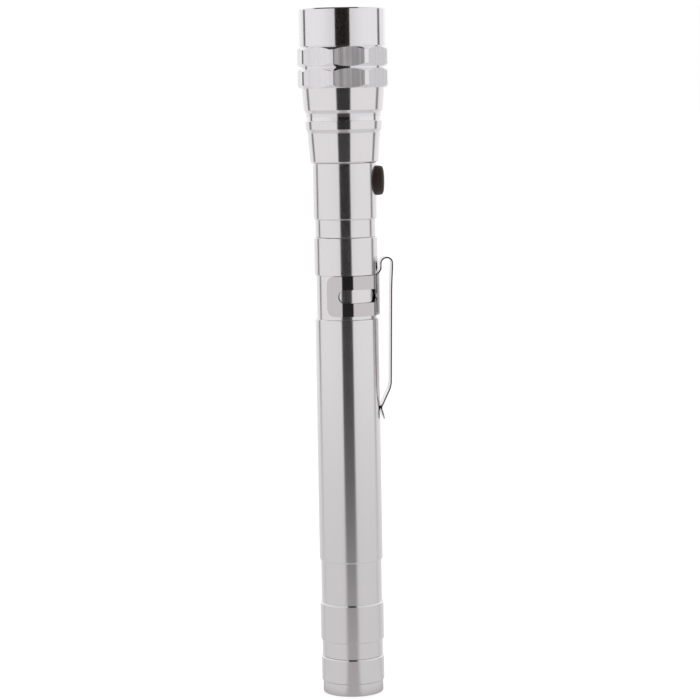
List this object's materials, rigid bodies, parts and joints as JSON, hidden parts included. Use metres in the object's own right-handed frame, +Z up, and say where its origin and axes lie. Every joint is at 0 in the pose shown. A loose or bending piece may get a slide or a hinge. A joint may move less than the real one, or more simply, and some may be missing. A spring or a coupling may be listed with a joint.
{
  "type": "magnetic pickup tool",
  "caption": "Pen-shaped telescopic magnetic pickup tool: turned aluminium LED head with a round magnet, side button, sliding rods, gooseneck, and a handle with a pocket clip.",
  "frame": {"origin": "centre of the tail face, on the tool's axis, where the tool stands", "axes": "+Z up along the tool's axis from the tail to the magnet head; +X from the axis towards the push button"},
  "size_m": [0.0229, 0.0222, 0.17],
  "materials": {
    "polished_aluminium": "polished, clear anodised",
    "clip_steel": "bright spring steel",
    "plated_steel": "bright nickel-chrome plate",
    "gooseneck_steel": "plated wound steel",
    "brass": "turned",
    "nickel_magnet": "nickel plated",
    "black_rubber": "satin",
    "black_plastic": "moulded",
    "spring_steel": "nickel plated wire",
    "cell_steel": "satin nickel",
    "face_plate": "metallised",
    "circuit_board": "solder mask",
    "led_epoxy": "clear epoxy"
  },
  "bodies": {
    "handle": {"handle_tube": "polished_aluminium", "handle_collar": "polished_aluminium", "clip_band": "clip_steel", "tail_sleeve": "polished_aluminium", "tail_cap": "polished_aluminium", "tail_magnet": "nickel_magnet"},
    "clip": {"clip_bend": "clip_steel", "clip_arm": "clip_steel"},
    "rod_1": {"rod_1": "plated_steel", "rod_bush_1": "brass"},
    "rod_2": {"rod_2": "plated_steel", "rod_bush_2": "brass"},
    "rod_3": {"rod_3": "plated_steel", "rod_bush_3": "brass"},
    "rod_4": {"rod_4": "plated_steel", "rod_bush_4": "brass"},
    "neck": {"neck_foot": "brass", "gooseneck": "gooseneck_steel", "neck_ferrule": "gooseneck_steel"},
    "barrel": {"neck_plug": "polished_aluminium", "barrel": "polished_aluminium", "head_o_ring": "black_rubber", "switch_housing": "black_plastic", "switch_contact": "brass", "battery_spring": "spring_steel", "battery_sleeve": "black_plastic", "button_spring": "spring_steel"},
    "button": {"button_cap": "black_rubber", "switch_plunger": "black_plastic"},
    "cells": {"button_cell_1": "cell_steel", "button_cell_2": "cell_steel", "button_cell_3": "cell_steel", "button_cell_4": "cell_steel"},
    "lamp": {"head_shell": "polished_aluminium", "front_bezel": "polished_aluminium", "led_plate": "face_plate", "led_board": "circuit_board", "board_contact": "brass", "led_1": "led_epoxy", "led_2": "led_epoxy", "led_3": "led_epoxy", "magnet_holder": "black_plastic", "pickup_magnet": "nickel_magnet"}
  },
  "joints": [
    {"name": "clip_flex", "type": "hinge", "parent": "handle", "child": "clip", "pos_m": [0.00995, 0.00096, 0.1075], "axis": [0.0958, -0.9954, 0], "range_deg": [0, 8], "stiffness_Nm_per_rad": 0.6, "deforming": ["clip_bend"]},
    {"name": "rod_1_slide", "type": "slide", "parent": "handle", "child": "rod_1", "axis": [0, 0, 1], "range_m": [0, 0.0784]},
    {"name": "rod_2_slide", "type": "slide", "parent": "rod_1", "child": "rod_2", "axis": [0, 0, 1], "range_m": [0, 0.078]},
    {"name": "rod_3_slide", "type": "slide", "parent": "rod_2", "child": "rod_3", "axis": [0, 0, 1], "range_m": [0, 0.0777]},
    {"name": "rod_4_slide", "type": "slide", "parent": "rod_3", "child": "rod_4", "axis": [0, 0, 1], "range_m": [0, 0.0773]},
    {"name": "neck_slide", "type": "slide", "parent": "rod_4", "child": "neck", "axis": [0, 0, 1], "range_m": [0, 0.0749]},
    {"name": "head_spin", "type": "hinge", "parent": "neck", "child": "barrel", "pos_m": [0, 0, 0.119], "axis": [0, 0, 1], "continuous": true},
    {"name": "button_press", "type": "slide", "parent": "barrel", "child": "button", "axis": [-1, 0, 0], "range_m": [0, 0.001], "stiffness_N_per_m": 600, "deforming": ["button_spring"]},
    {"name": "head_lift", "type": "slide", "parent": "barrel", "child": "cells", "axis": [0, 0, 1], "range_m": [0, 0.004], "deforming": ["battery_spring"]},
    {"name": "head_unscrew", "type": "hinge", "parent": "cells", "child": "lamp", "pos_m": [0, 0, 0.136], "axis": [0, 0, 1], "range_deg": [0, 1441]}
  ],
  "couplings": [
    {"joint": "head_unscrew", "follows": "head_lift", "rad_per_m": 6283.2}
  ]
}
